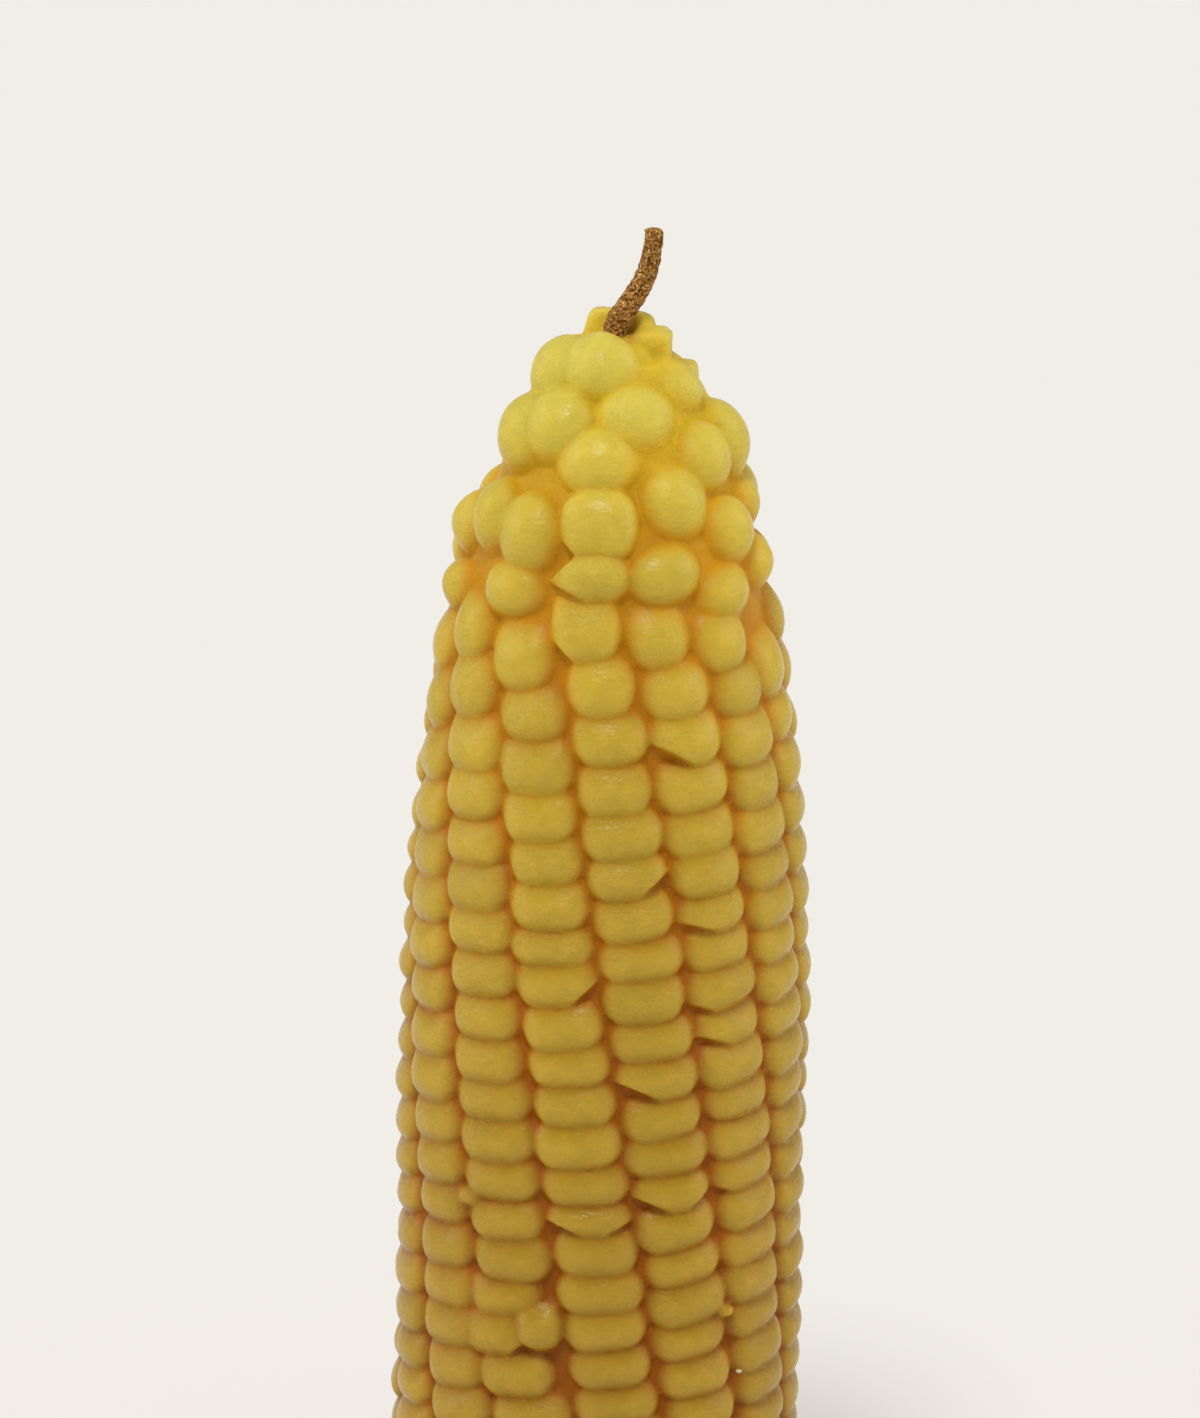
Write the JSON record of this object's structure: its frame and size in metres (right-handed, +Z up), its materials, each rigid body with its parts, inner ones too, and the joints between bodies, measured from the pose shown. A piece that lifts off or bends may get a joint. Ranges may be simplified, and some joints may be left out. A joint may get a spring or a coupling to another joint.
{
  "type": "corn cob candle",
  "caption": "Standing beeswax candle cast in the shape of a maize cob, with rows of rounded kernels, a tapered tip and a bent cotton wick.",
  "frame": {"origin": "middle of the flat base on the surface it stands on, under the ear's axis", "axes": "+Z up along the ear from its base to its tip, -Y the front, +X the side the wick bends toward"},
  "size_m": [0.0472, 0.0474, 0.1737],
  "materials": {
    "beeswax": "cast beeswax, soft satin, yellow with orange grooves between the kernels",
    "waxed_cotton": "braided cotton wick soaked in wax, brown and fibrous"
  },
  "bodies": {
    "root": {"wax_body": "beeswax", "wick": "waxed_cotton"}
  },
  "joints": []
}
